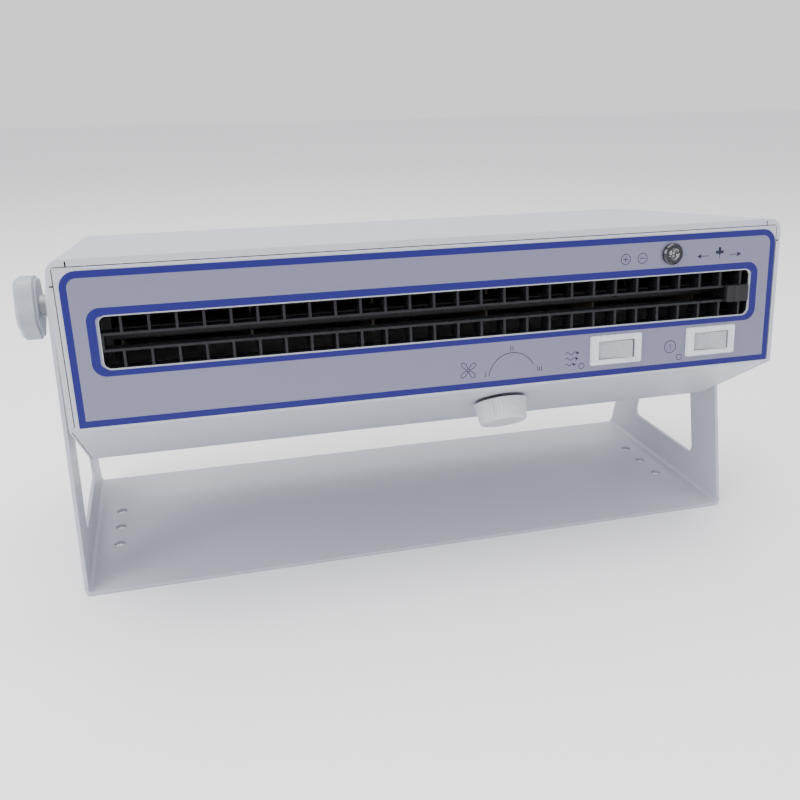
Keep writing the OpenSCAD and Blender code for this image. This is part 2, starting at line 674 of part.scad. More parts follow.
// The duct's floor ends in a tongue that follows the impeller
tongue_a = 180 - asin((duct_floor_z - fan_z) / tongue_r);
floor_path = concat([[grille_back, duct_floor_z]], arc([fan_y, fan_z], tongue_r, tongue_a, tongue_a + 26, 5));
module duct_floor() color(zinc) head() from_x(duct_x1, duct_x2 - duct_x1)
  polygon(concat(floor_path, backwards(shifted(floor_path, -fan_sheet))));
plate_foot = 6;
shoulder_y = 14;
plate_y = 42;
plate_z = 24;
brow_y = 30;
brow_z = 26;
module scroll_cheek(foot) polygon([[fan_y + shoulder_y, duct_top + fan_sheet], [fan_y + plate_y, fan_z + plate_z],
  [fan_y + plate_y, foot], [tongue_y - plate_foot, foot], [tongue_y - plate_foot, duct_top + fan_sheet]]);
module duct_cheek_outline() polygon([[grille_back, duct_floor_z - fan_sheet],
  [fan_y - fan_r, duct_floor_z - fan_sheet], [fan_y + brow_y, fan_z + brow_z], [fan_y + shoulder_y, duct_top + fan_sheet],
  [grille_back, duct_top + fan_sheet]]);
bearing_d = 14;
bearing_rim = 3;
bearing_l = 5;
bearing_lip = 1.2;
module fan_plate_left() color(zinc) head() difference() {
  union() {
    from_x(duct_x1 - fan_sheet, fan_sheet) scroll_cheek(inner_floor);
    from_x(duct_x1 - fan_sheet, fan_sheet) duct_cheek_outline();
  }
  translate([0, fan_y, fan_z]) rod_x(duct_x1 - 2 * fan_sheet, duct_x1 + cut, bearing_d + 2 * shank_clear);
}
module fan_plate_right() color(zinc) head() difference() {
  from_x(motor_x - fan_sheet, fan_sheet) intersection() {
    scroll_cheek(inner_floor);
    scroll_inside();
  }
  translate([0, fan_y, fan_z]) rod_x(motor_x - 2 * fan_sheet, motor_x + cut, bearing_d + 2 * shank_clear);
  motor_screw_places() rotate([0, 90, 0]) cylinder(d = motor_screw_d + 0.4, h = 4 * fan_sheet, center = true);
}
// Everything under the scroll and behind the tongue
module scroll_inside() polygon(concat([for (p = scroll_path) if (p[0] > fan_y - 1) p],
  [[fan_y + plate_y - 4, fan_z], [fan_y + plate_y - 4, inner_floor], [fan_y - brow_y, inner_floor],
   [fan_y - tongue_r, fan_z - 5]],
  [for (i = [5:-1:0]) floor_path[i + 1]], [[tongue_y, duct_top]]));
module duct_cheek() color(zinc) head() from_x(duct_x2, fan_sheet) duct_cheek_outline();
module fan_bearing() color("#2c2c30") head() translate([0, fan_y, fan_z]) difference() {
  union() {
    rod_x(duct_x1 - fan_sheet - bearing_l, duct_x1 - fan_sheet, bearing_d + 2 * bearing_rim);
    rod_x(duct_x1 - fan_sheet - cut, duct_x1 + bearing_lip, bearing_d);
  }
  rod_x(duct_x1 - fan_sheet - bearing_l + 1, duct_x1 + bearing_lip + cut, shaft_d + 2 * shaft_fit);
}
function polar(r, a) = r * [cos(a), sin(a)];
blade_r1 = fan_r - blade_depth;
blade_inset = 0.3;
blade_bow = 1.6;
module blade() {
  steps = 3;
  front = [for (j = [0:steps]) polar(blade_r1 + (blade_depth - blade_inset) * j / steps,
                                     blade_curve * pow(j / steps, blade_bow))];
  back = [for (j = [steps:-1:0]) let (r = blade_r1 + (blade_depth - blade_inset) * j / steps)
    polar(r, blade_curve * pow(j / steps, blade_bow) + blade_t / r * 180 / PI)];
  polygon(concat(front, back));
}
hub_d = 16;
module impeller() color("#3a3d44") head() translate([0, fan_y, fan_z]) difference() {
  union() {
    from_x(fan_x1, fan_x2 - fan_x1) for (i = [0:blade_count - 1]) rotate(360 * i / blade_count) blade();
    for (i = [1:fan_sections - 1])
      from_x(fan_x1 + (fan_x2 - fan_x1 - ring_t) * i / fan_sections, ring_t) difference() {
        circle(r = fan_r);
        circle(r = blade_r1 - 1);
      }
    for (x = [fan_x1, fan_x2 - ring_t]) rod_x(x, x + ring_t, fan_d);
    rod_x(fan_x1, fan_x1 + hub_l, hub_d);
    rod_x(fan_x2 - hub_l, fan_x2, hub_d);
  }
  rod_x(fan_x1 - cut, fan_x1 + hub_l - 2, shaft_d + 2 * shaft_fit);
  rod_x(fan_x2 - hub_l + 2, fan_x2 + cut, shaft_d + 2 * shaft_fit);
}
hub_l = 14;
motor_screw_r = 21;
motor_screw_d = 3;
motor_hub_d = 18;
vent_w = 4;
vent_deep = 3;
module fan_shafts() color(steel) head() translate([0, fan_y, fan_z]) {
  rod_x(duct_x1 - fan_sheet - 3.5, fan_x1 + hub_l - 2.5, shaft_d);
  rod_x(fan_x2 - hub_l + 2.5, motor_x + motor_l + 3, shaft_d);
}
module motor_screw_places() for (a = [90, 210, 330])
  translate([motor_x, fan_y + motor_screw_r * cos(a), fan_z + motor_screw_r * sin(a)]) children();
module fan_motor() color("#55585e") head() difference() {
  translate([0, fan_y, fan_z]) {
    rod_x(motor_x, motor_x + motor_l, motor_d);
    rod_x(motor_x + motor_l - cut, motor_x + motor_l + 5, motor_hub_d);
    rod_x(motor_x - fan_sheet, motor_x + 1, bearing_d);
  }
  translate([0, fan_y, fan_z]) rod_x(motor_x - 2 * fan_sheet, motor_x + motor_l + 4, shaft_d + 2 * shaft_fit);
  motor_screw_places() rod_x(-cut, 7, motor_screw_d + 0.2);
  for (a = [0:30:330]) translate([0, fan_y, fan_z]) rotate([a, 0, 0]) translate([0, 0, motor_d / 2])
    translate([motor_x + 6, -vent_w / 2, -vent_deep]) cube([motor_l - 12, vent_w, 2 * vent_deep]);
}
module motor_screws() color(steel) head() motor_screw_places() {
  rod_x(-fan_sheet - 1.4, -fan_sheet, 5.5);
  rod_x(-fan_sheet - eps, 6, motor_screw_d);
}

/* Heater */
heater_y1 = emitter_y + emitter_depth + 12;
heater_depth = 34;
card_count = 6;
card_t = 1.5;
coil_d = 3.2;
coil_z = 7;
card_inset = 8;
cutout_x = 60;
cutout_w = 24;
cutout_d = 9;
cutout_h = 5;
function card_x(i) = duct_x1 + card_inset + i * (duct_x2 - duct_x1 - 2 * card_inset - card_t) / (card_count - 1);
module coil_places() for (i = [0:2], z = [-1, 1])
  translate([0, heater_y1 + heater_depth * (i + 0.5) / 3, outlet_z + z * coil_z]) children();
module heater_cards() color("#b9a98a") head() difference() {
  for (i = [0:card_count - 1]) from_x(card_x(i), card_t)
    polygon([[heater_y1, duct_floor_z], [heater_y1 + heater_depth, duct_floor_z],
             [heater_y1 + heater_depth, duct_top], [heater_y1, duct_top]]);
  coil_places() rod_x(duct_x1, duct_x2, coil_d + 0.4);
}
module heater_coils() color("#8c7b6a") head() coil_places() rod_x(card_x(0) - 3, card_x(card_count - 1) + 4.5, coil_d);
module thermal_cutout() color("#3c3c40") head()
  translate([cutout_x, heater_y1 + heater_depth / 2, duct_top + fan_sheet]) {
    linear_extrude(cutout_h) polygon(rrect(cutout_w, cutout_d, 1.5));
    cylinder(d = cutout_d - 2, h = cutout_h + 2);
  }

/* Switches */
module switch_case(x) color("#f1f1f3") head() translate([x, front_y, switch_z]) difference() {
  union() {
    from_y(-switch_rim, switch_rim / 2)
      polygon(rrect(switch_w - 2 * rim_step, switch_h - 2 * rim_step, rim_step));
    from_y(-switch_rim / 2, switch_rim / 2 - overlay_t) polygon(rrect(switch_w, switch_h, 2 * rim_step));
    from_y(-overlay_t, overlay_t + switch_depth) square([case_w, case_h], center = true);
    for (i = [-1:1]) translate([i * terminal_pitch, 0, 0])
      from_y(switch_depth - cut, terminal_l + cut) square([terminal_t, terminal_w], center = true);
  }
  from_y(-switch_rim - cut, switch_rim + cut + switch_depth - case_back)
    square([rocker_w + 2 * rocker_end_gap, rocker_h + 2 * rocker_gap], center = true);
  translate([0, pivot_in, 0]) cylinder(d = pin_d + 2 * pin_fit, h = case_h + 2 * cut, center = true);
}
module warm_switch() switch_case(warm_x);
module power_switch() switch_case(power_x);
// The rocker's face has two flats that meet in a shallow valley, and it turns on a pin at each end
module rocker(x) color("#fbfbf6") head() translate([x, front_y + pivot_in, switch_z]) {
  translate([0, 0, -rocker_h / 2]) rotate([0, 0, -rocker_swing]) linear_extrude(rocker_h)
    polygon(rounded([[-rocker_w / 2, -rocker_tip], [0, -rocker_valley], [rocker_w / 2, -rocker_tip],
      [rocker_w / 2 - rocker_draft, -1], [rocker_foot, rocker_back], [-rocker_foot, rocker_back],
      [-rocker_w / 2 + rocker_draft, -1]], [0.8, 0, 0.8, 0, 1, 1, 0], 4));
  cylinder(d = pin_d, h = case_h - 2 * pin_fit, center = true);
}
module warm_rocker() rocker(warm_x);
module power_rocker() rocker(power_x);

/* Speed regulator and its knob */
shaft_in = 7.5;
shaft_up = speed_h * 0.7;
pointer_w = 1.3;
pointer_deep = 2.2;
module speed_regulator() color("#3f4248") head() slope() difference() {
  union() {
    translate([0, 0, -sheet_t - reg_l]) cylinder(d = reg_d, h = reg_l);
    translate([0, 0, -sheet_t - eps]) cylinder(d = bush_d, h = sheet_t + reg_nut_t + 0.3);
  }
  translate([0, 0, -sheet_t - shaft_in - 0.5]) cylinder(d = shaft_d + 2 * shaft_fit, h = reg_l);
}
module regulator_nut() color(steel) head() slope() difference() {
  cylinder(d = bush_d + 5, h = reg_nut_t, $fn = 6);
  translate([0, 0, -cut]) cylinder(d = bush_d + 0.2, h = reg_nut_t + 2 * cut);
}
module regulator_shaft() color(steel) head() slope()
  translate([0, 0, -sheet_t - shaft_in]) cylinder(d = shaft_d, h = sheet_t + shaft_in + speed_lift + shaft_up);
// Points of the fluted rim, with the pointer's rib on +Y
function fluted(r) = [for (i = [0:2 * flute_count - 1]) let (a = 90 + 180 * i / flute_count)
  (r - (i % 2 == 0 ? 0 : flute_depth)) * [cos(a), sin(a)]];
module speed_knob() color("#f4f4f6") head() slope() rotate(speed_rest)
  translate([0, 0, speed_lift]) difference() {
    k = speed_d2 / speed_d1;
    union() {
      linear_extrude(speed_h, scale = k) polygon(fluted(speed_d1 / 2));
      translate([0, (speed_d1 + speed_d2) / 4 - 0.8, speed_h / 2])
        rotate([atan2((speed_d1 - speed_d2) / 2, speed_h), 0, 0]) cube([pointer_w, pointer_deep, speed_h - 1.6], center = true);
    }
    rotate_extrude() polygon([[speed_d2 / 2 - knob_bevel, speed_h + cut], [speed_d2 / 2 - knob_bevel, speed_h],
                              [speed_d2 / 2 + 2, speed_h - knob_bevel - 2], [speed_d2 / 2 + 4, speed_h + cut]]);
    translate([0, 0, -cut]) cylinder(d = shaft_d + 2 * shaft_fit, h = shaft_up + cut + end_clear);
  }
knob_bevel = 1;

/* Lamp */
lamp_behind = 14;
lamp_seat = 2.4;
lamp_dome = 1.6;
lamp_slack = 0.4;
module lamp_holder() color("#24252a") head() translate([lamp_x, front_y, top_z - lamp_down])
  rotate([90, 0, 0]) difference() {
    union() {
      translate([0, 0, overlay_t]) cylinder(d = lamp_d, h = lamp_out - overlay_t - 1);
      translate([0, 0, lamp_out - 1]) cylinder(d1 = lamp_d, d2 = lamp_d - 2, h = 1);
      translate([0, 0, -lamp_behind]) cylinder(d = lamp_stem, h = lamp_behind + overlay_t + eps);
    }
    translate([0, 0, lamp_out - lamp_seat])
      cylinder(d1 = lamp_lens_d + lamp_slack, d2 = lamp_lens_d + 2.6, h = lamp_seat + eps);
    translate([0, 0, -lamp_behind / 2]) cylinder(d = lamp_lens_d + lamp_slack, h = lamp_behind / 2 + lamp_out);
  }
lamp_lens_d = 5;
module lamp_lens() color("#e8f0f4") head() translate([lamp_x, front_y, top_z - lamp_down]) rotate([90, 0, 0]) {
  translate([0, 0, -lamp_behind / 2]) cylinder(d = lamp_lens_d, h = lamp_behind / 2 + lamp_out - lamp_dome);
  translate([0, 0, lamp_out - lamp_dome]) intersection() {
    sphere(d = lamp_lens_d);
    translate([0, 0, lamp_lens_d / 2]) cube(lamp_lens_d, center = true);
  }
}

/* Electrics */
board_x = -110;
board_y = -7;
board_up = 8;
board_w = 140;
board_d = 68;
board_t = 1.6;
post_in = 6;
relay = [16, 20, 12];
block = [12, 48, 11];
heat_sink = [30, 8, 10];
can_d = 10;
can_h = 13;
module board_corners() for (x = [-1, 1], y = [-1, 1])
  translate([board_x + x * (board_w / 2 - post_in), board_y + y * (board_d / 2 - post_in), inner_floor]) children();
// Small part with rounded corners, from its width, depth and height
module block_of(size) linear_extrude(size[2]) polygon(rrect(size[0], size[1], 1));
module control_board() head() translate([board_x, board_y, inner_floor + board_up]) {
  color("#2f6b45") linear_extrude(board_t) polygon(rrect(board_w, board_d, 2));
  translate([0, 0, board_t]) {
    color("#2b2c30") for (x = [-46, -26]) translate([x, -10, 0]) block_of(relay);
    color("#3d5a96") for (x = [0, 14]) translate([x, -12, 0]) cylinder(d = can_d, h = can_h);
    color("#3f8f55") translate([44, 0, 0]) block_of(block);
    color("#77797f") translate([8, 14, 0]) block_of(heat_sink);
  }
}
module board_posts() color("#e6e6e6") head() board_corners() cylinder(d = post_in, h = board_up);
hv_w = 44;
hv_d = 52;
hv_h = 26;
ear_t = 3;
module hv_transformer() color("#26272b") head()
  translate([motor_x + 4 + hv_w / 2, fan_y - 14, inner_floor]) {
    linear_extrude(hv_h) polygon(rrect(hv_w - 6, hv_d - 10, 3));
    linear_extrude(ear_t) polygon(rrect(hv_w - 2, hv_d, 3));
    translate([0, -8, hv_h - eps]) cylinder(d = 8, h = 2);
  }

/* Intake filter */
module filter_frame() color(zinc) head() translate([intake_x, 0, intake_z]) {
  w = filter_w + 2 * sheet_gap;
  h = filter_h + 2 * sheet_gap;
  depth = filter_t + 2 * sheet_gap;
  lip = 5;
  from_y(inner_back - depth, depth) difference() {
    square([w + 2 * sheet_t, h + 2 * sheet_t], center = true);
    square([w, h], center = true);
  }
  from_y(inner_back - depth - sheet_t, sheet_t) difference() {
    square([w + 2 * sheet_t, h + 2 * sheet_t], center = true);
    square([w - 2 * lip, h - 2 * lip], center = true);
  }
}
module intake_filter() color("#4a4d52") head() translate([intake_x, 0, intake_z])
  from_y(inner_back - sheet_gap - filter_t, filter_t) polygon(rrect(filter_w, filter_h, 2));

/* Power inlet and fuse */
inlet_w = 27;
inlet_h = 20;
inlet_wall = 1.6;
inlet_depth = 20;
inlet_rim = 3;
pin_pitch = 7;
blade_w = 4.8;
blade_l = 7;
module inlet_shape(w, h) polygon(rounded(box_corners(w, h), [1, 1, 5, 5], 4));
module power_inlet() color(black) head() translate([inlet_x, 0, inlet_z]) difference() {
  union() {
    from_y(back_y, inlet_rim) polygon(rrect(inlet_w + 6, inlet_h + 5, 2));
    from_y(back_y - inlet_depth, inlet_depth) square([inlet_w, inlet_h], center = true);
    for (x = [-pin_pitch, 0, pin_pitch]) from_y(back_y - inlet_depth - blade_l, blade_l + cut)
      translate([x, x == 0 ? 3 : -3]) square([blade_w, terminal_t], center = true);
  }
  from_y(back_y + inlet_rim - inlet_hole, inlet_hole + cut)
    inlet_shape(inlet_w - 2 * inlet_wall, inlet_h - 2 * inlet_wall);
}
inlet_hole = 17;
module inlet_pins() color(zinc) head() translate([inlet_x, 0, inlet_z])
  for (x = [-pin_pitch, 0, pin_pitch]) from_y(back_y + inlet_rim - inlet_hole, inlet_hole - 3)
    translate([x, x == 0 ? 3.4 : 0]) square([2, 4], center = true);
fuse_d = 12;
fuse_l = 26;
fuse_rim = 2.4;
fuse_cap = 6;
module fuse_holder() color(black) head() translate([inlet_x, back_y, fuse_z]) rotate([-90, 0, 0]) difference() {
  union() {
    translate([0, 0, -fuse_l]) cylinder(d = fuse_d, h = fuse_l + eps);
    cylinder(d = fuse_d + 4, h = fuse_rim);
    translate([0, 0, fuse_rim]) cylinder(d1 = fuse_d + 1, d2 = fuse_d, h = fuse_cap);
  }
  translate([-1, -fuse_d, 7]) cube([2, 2 * fuse_d, 2]);
}

stand_bracket();
spacer_left();
spacer_right();
top_cover();
chassis();
rear_panel();
side_screws();
rear_screws();
nut_plate_left();
nut_plate_right();
clamp_knob_left();
clamp_knob_right();
clamp_stud_left();
clamp_stud_right();
front_overlay();
outlet_grille();
cleaner_slider();
cleaner_brush();
emitter_bar();
emitter_points();
emitter_brackets();
scroll_wall();
duct_floor();
fan_plate_left();
fan_plate_right();
duct_cheek();
fan_bearing();
impeller();
fan_shafts();
fan_motor();
motor_screws();
heater_cards();
heater_coils();
thermal_cutout();
warm_switch();
warm_rocker();
power_switch();
power_rocker();
speed_regulator();
regulator_nut();
regulator_shaft();
speed_knob();
lamp_holder();
lamp_lens();
control_board();
board_posts();
hv_transformer();
intake_filter();
filter_frame();
power_inlet();
inlet_pins();
fuse_holder();
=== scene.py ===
import math

import bmesh
import bpy
from mathutils import Matrix, Vector
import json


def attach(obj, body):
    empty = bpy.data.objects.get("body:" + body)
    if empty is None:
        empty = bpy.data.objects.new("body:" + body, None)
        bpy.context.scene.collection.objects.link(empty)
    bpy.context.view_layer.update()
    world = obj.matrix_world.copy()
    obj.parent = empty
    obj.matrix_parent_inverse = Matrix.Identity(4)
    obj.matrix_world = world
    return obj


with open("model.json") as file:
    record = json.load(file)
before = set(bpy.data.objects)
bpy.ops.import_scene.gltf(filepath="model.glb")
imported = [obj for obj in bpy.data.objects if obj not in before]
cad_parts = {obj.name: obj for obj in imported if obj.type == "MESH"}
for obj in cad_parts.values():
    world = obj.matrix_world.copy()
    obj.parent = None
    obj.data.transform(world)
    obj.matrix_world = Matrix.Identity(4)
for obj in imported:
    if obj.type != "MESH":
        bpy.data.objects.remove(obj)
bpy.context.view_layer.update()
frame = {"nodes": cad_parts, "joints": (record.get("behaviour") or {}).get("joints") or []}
nodes = frame["nodes"]
mm = 0.001

# Camera
# It stands a little to the left of the blower, above it, and looks down at the front panel.
eye = Vector((-0.16561, -0.65635, 0.33614))
look = Vector((0.24114, 0.8921, -0.38212)).normalized()
overhead = Vector((0.10869, 0.36644, 0.92407))
side = look.cross(overhead).normalized()
camera = bpy.data.objects.new("camera", bpy.data.cameras.new("camera"))
bpy.context.scene.collection.objects.link(camera)
camera.matrix_world = (
    Matrix.Translation(eye)
    @ Matrix((side, side.cross(look), -look)).transposed().to_4x4()
)
camera.data.lens = 39.469
camera.data.shift_x = -0.0156
camera.data.shift_y = 0.0409
bpy.context.scene.camera = camera


# Floor and light
# A white table top that runs far past the view, a broad lamp overhead, one from the left front, and a weak
# one on the right.
class Wire:
    """A value in a material. Arithmetic on it adds the Math nodes that do it."""

    def __init__(self, finish, socket):
        self.finish, self.socket = finish, socket

    def math(self, operation, *others):
        """One Math node on this value and the others, in that order."""
        values = dict(enumerate((self, *others)))
        return self.finish.node("ShaderNodeMath", {"operation": operation}, values)

    def __add__(self, other):
        return self.math("ADD", other)

    def __sub__(self, other):
        return self.math("SUBTRACT", other)

    def __rsub__(self, other):
        return self.finish.node("ShaderNodeMath", {"operation": "SUBTRACT"}, {0: other, 1: self})

    def __mul__(self, other):
        return self.math("MULTIPLY", other)

    def __truediv__(self, other):
        return self.math("DIVIDE", other)

    def __pow__(self, other):
        return self.math("POWER", other)

    __radd__ = __add__
    __rmul__ = __mul__

    def __abs__(self):
        return self.math("ABSOLUTE")

    def above(self, level, softness):
        """0 below the level and 1 above it, with an edge as wide as the softness."""
        settings = {"interpolation_type": "SMOOTHSTEP"}
        limits = {1: level - softness / 2, 2: level + softness / 2, 3: 0.0, 4: 1.0}
        return self.finish.node("ShaderNodeMapRange", settings, {0: self, **limits})


class Finish:
    """A material of one Principled shader, whose even values are set on the shader's own sockets."""

    def __init__(self, name, color, roughness, **even):
        self.material = bpy.data.materials.new(name)
        self.material.use_nodes = True
        self.tree = self.material.node_tree
        self.shader = self.tree.nodes["Principled BSDF"]
        self.set("Base Color", (*color, 1.0))
        self.set("Roughness", roughness)
        for socket, value in even.items():
            self.set(socket.replace("_", " "), value)

    def set(self, socket, value):
        """Puts an even value on a socket of the shader, or a wire into it."""
        if isinstance(value, Wire):
            self.tree.links.new(value.socket, self.shader.inputs[socket])
        else:
            self.shader.inputs[socket].default_value = value
        return self

    def node(self, kind, settings=None, inputs=None, output=0):
        """Any node. Its settings come first, then the values of its sockets or the wires into them."""
        made = self.tree.nodes.new(kind)
        for name, value in (settings or {}).items():
            setattr(made, name, value)
        for socket, value in (inputs or {}).items():
            if isinstance(value, Wire):
                self.tree.links.new(value.socket, made.inputs[socket])
            else:
                made.inputs[socket].default_value = value
        return Wire(self, made.outputs[output])

    def place(self):
        """Where a point lies in the row frame at rest, in metres, as x, y and z."""
        spot = self.node("ShaderNodeTexCoord", output="Object")
        parts = [self.node("ShaderNodeSeparateXYZ", None, {0: spot}, k) for k in range(3)]
        return spot, *parts

    def noise(self, size, detail=2.0, stretch=(1.0, 1.0, 1.0)):
        """Even noise from 0 to 1 whose grains are about that many millimetres across."""
        spot = self.node("ShaderNodeTexCoord", output="Object")
        spot = self.node("ShaderNodeMapping", None, {"Vector": spot, "Scale": stretch})
        scale = {"Vector": spot, "Scale": 1 / (size * mm), "Detail": detail}
        return self.node("ShaderNodeTexNoise", None, scale)

    def mix(self, share, first, second):
        """First colour where the share is 0 and second where it is 1."""
        settings = {"data_type": "RGBA"}
        colors = [c if isinstance(c, Wire) else (*c, 1.0) for c in (first, second)]
        return self.node("ShaderNodeMix", settings, {0: share, 6: colors[0], 7: colors[1]}, 2)

    def bump(self, height, depth, strength=1.0):
        """Relief that is that many millimetres deep."""
        relief = {"Height": height, "Distance": depth * mm, "Strength": strength}
        return self.set("Normal", self.node("ShaderNodeBump", None, relief))

    def grain(self, color, other, size, rough=None, depth=0.0, stretch=(1.0, 1.0, 1.0)):
        """Two close shades in soft patches, with the roughness and a fine relief that go with them."""
        patches = self.noise(size, 3.0, stretch)
        self.set("Base Color", self.mix(patches.above(0.5, 0.5), color, other))
        if rough:
            self.set("Roughness", patches * (rough[1] - rough[0]) + rough[0])
        if depth:
            self.bump(patches, depth)
        return self

    def dress(self, *names):
        """Gives this material to the named parts of the blower."""
        for name in names:
            nodes[name].data.materials.clear()
            nodes[name].data.materials.append(self.material)
        return self


def new_piece(name, verts, faces, finish, body=None):
    """A mesh from points in metres, with its faces turned outwards."""
    mesh = bpy.data.meshes.new(name)
    mesh.from_pydata([tuple(v) for v in verts], [], faces)
    shape = bmesh.new()
    shape.from_mesh(mesh)
    bmesh.ops.recalc_face_normals(shape, faces=shape.faces)
    shape.to_mesh(mesh)
    shape.free()
    mesh.materials.append(finish.material)
    piece = bpy.data.objects.new(name, mesh)
    bpy.context.scene.collection.objects.link(piece)
    if body:
        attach(piece, body)
    return piece


table_half = 6.0
table_top = Finish("table_top", (0.93, 0.93, 0.94), 0.6)
corners = [(-1, -1), (1, -1), (1, 1), (-1, 1)]
floor = new_piece(
    "floor", [(x * table_half, y * table_half, 0) for x, y in corners], [(0, 1, 2, 3)], table_top
)

for name, spot, size, power, color in [
    ("lamp_over", (-0.1, 0.1, 1.7), 1.8, 44, (1.0, 0.985, 0.965)),
    ("lamp_left", (-1.6, -0.9, 1.0), 1.1, 26, (0.97, 0.98, 1.0)),
    ("lamp_right", (1.4, -1.2, 0.9), 1.2, 5, (0.97, 0.98, 1.0)),
]:
    lamp = bpy.data.objects.new(name, bpy.data.lights.new(name, "AREA"))
    lamp.data.size, lamp.data.energy, lamp.data.color = size, power, color
    lamp.location = spot
    lamp.rotation_euler = (Vector((0, 0, 0.12)) - Vector(spot)).to_track_quat("-Z", "Y").to_euler()
    bpy.context.scene.collection.objects.link(lamp)

sky = bpy.data.worlds.new("studio")
sky.use_nodes = True
sky.node_tree.nodes["Background"].inputs["Color"].default_value = (0.96, 0.965, 1.0, 1.0)
sky.node_tree.nodes["Background"].inputs["Strength"].default_value = 1.15
bpy.context.scene.world = sky

# Painted sheet metal
# The stand is one bent steel sheet, and the head's case is a cover, a folded pan and a slotted back. All
# are powder coated in one pale grey, so they show a faint orange peel and sit a shade apart by their light.
# Grain sizes, and how far the painted shade in creases reaches, in millimetres.
peel_size, speck_size, crease_shade_reach = 1.6, 0.5, 4.0
coat = Finish("powder_coat", (0.43, 0.44, 0.49), 0.45)
peel = coat.noise(peel_size, 2.0)
speck = coat.noise(speck_size, 1.0).above(0.72, 0.06)
shade = coat.mix(peel.above(0.5, 0.6), (0.42, 0.432, 0.49), (0.445, 0.457, 0.515))
# Creases, slits and gaps between the sheets are darkened by how little open sky they see: painted shade.
open_share = coat.node("ShaderNodeAmbientOcclusion", {"samples": 8}, {"Distance": crease_shade_reach * mm}, "AO")
painted_crease_shade = 1 - open_share.above(0.45, 0.6)
speckled = coat.mix(speck * 0.25, shade, (0.33, 0.34, 0.385))
coat.set("Base Color", coat.mix(painted_crease_shade * 0.85, speckled, (0.03, 0.03, 0.04)))
coat.set("Roughness", peel * 0.12 + 0.36)
coat.bump(peel, 0.05, 0.5)
coat.dress("stand_bracket", "top_cover", "chassis", "rear_panel")

# Front film
# A silver polyester film with blue borders printed on it covers the whole front. It is glued to the pan, and
# has openings for the outlet, the switches and the lamp.
# The head stands nose up by this angle at rest, and its axis is this high.
tilt = math.radians(6)
lift = next(joint["pos_m"][2] for joint in frame["joints"] if joint["name"] == "head_tilt")
# The two blue borders, in the head's own millimetres from its axis
border, inner_border = 4.0, 5.0
outer_edge = {
    "left": -229, "right": 231, "low": -54.5, "high": 35.8, "top_radius": 9.5, "low_radius": 0.4,
}
inner_edge = {
    "left": -217.3, "right": 218.9, "low": -25.2, "high": 14.6, "top_radius": 8, "low_radius": 8,
}
flake_size = 0.35
film_blue = (0.008, 0.007, 0.13)
film_silver = (0.2, 0.2, 0.285)


def box_distance(x, z, left, right, low, high, top_radius, low_radius):
    """Distance in millimetres from the outline of a round-cornered box, less than 0 inside it."""
    middle = (low + high) / 2
    turn = z.above(middle, 0.1) * (top_radius - low_radius) + low_radius
    reach_x = abs(x - (left + right) / 2) - (right - left) / 2 + turn
    reach_z = abs(z - middle) - (high - low) / 2 + turn
    past_x, past_z = reach_x.math("MAXIMUM", 0.0), reach_z.math("MAXIMUM", 0.0)
    corner = (past_x * past_x + past_z * past_z) ** 0.5
    inside = reach_x.math("MAXIMUM", reach_z).math("MINIMUM", 0.0)
    return corner + inside - turn


def band(distance, width, edge=0.25):
    """1 on a strip of that width just inside the outline."""
    return (1 - distance.above(0.0, edge)) * distance.above(-width, edge)


film = Finish("printed_film", film_silver, 0.4, Specular_IOR_Level=0.3)
_, row_x, row_y, row_z = film.place()
head_x = row_x / mm
head_z = (row_y * math.sin(tilt) + (row_z - lift) * math.cos(tilt)) / mm
outer_line = band(box_distance(head_x, head_z, **outer_edge), border)
inner_line = band(box_distance(head_x, head_z, **inner_edge), inner_border)
lines = outer_line.math("MAXIMUM", inner_line)
flake = film.noise(flake_size, 1.0)
silver = film.mix(flake.above(0.5, 0.5), (0.185, 0.185, 0.27), (0.215, 0.215, 0.3))
film.set("Base Color", film.mix(lines, silver, film_blue))
film.set("Metallic", (1 - lines) * 0.55)
film.set("Roughness", flake * 0.1 + 0.36)
film.bump(film.noise(0.6, 2.0), 0.012, 0.5)
film.dress("front_overlay")

# Printed symbols
# The film carries small dark signs beside the lamp, the switches and the knob. Each is a thin layer of ink.
ink = Finish("dark_ink", (0.008, 0.01, 0.03), 0.5, Specular_IOR_Level=0.3)
ink.set("Roughness", ink.noise(0.3) * 0.15 + 0.42)
# In the head's own millimetres: the film's face, how far the ink stands out of it, and a stroke's width
film_face = -144.5
ink_depth = 0.06
line = 0.42
arc_steps = 28


def head_point(x, y, z):
    """A point given in the head's own millimetres, in the row frame."""
    c, s = math.cos(tilt), math.sin(tilt)
    return Vector((x, y * c + z * s, lift / mm - y * s + z * c)) * mm


def sign(name, outlines):
    """Flat shapes of ink on the film, each from its outline in the head's x and z."""
    verts, faces = [], []
    for outline in outlines:
        start, count = len(verts), len(outline)
        for y in (film_face + ink_depth / 2, film_face - ink_depth):
            verts += [head_point(x, y, z) for x, z in outline]
        faces += [tuple(range(start, start + count)), tuple(range(start + count, start + 2 * count))]
        faces += [
            (start + k, start + (k + 1) % count, start + count + (k + 1) % count, start + count + k)
            for k in range(count)
        ]
    return new_piece(name, verts, faces, ink, "head")


def bar(x0, z0, x1, z1, width=line):
    """A straight stroke."""
    along = Vector((x1 - x0, z1 - z0)).normalized() * width / 2
    across = Vector((-along.y, along.x))
    ends = [(x0, z0, 1), (x1, z1, 1), (x1, z1, -1), (x0, z0, -1)]
    return [(x + across.x * s, z + across.y * s) for x, z, s in ends]


def stroke(path):
    """A closed outline, one stroke wide, round an open path of points."""
    sides = [[], []]
    for k, (x, z) in enumerate(path):
        a, b = path[max(k - 1, 0)], path[min(k + 1, len(path) - 1)]
        along = Vector((b[0] - a[0], b[1] - a[1])).normalized() * line / 2
        sides[0].append((x - along.y, z + along.x))
        sides[1].append((x + along.y, z - along.x))
    return sides[0] + sides[1][::-1]


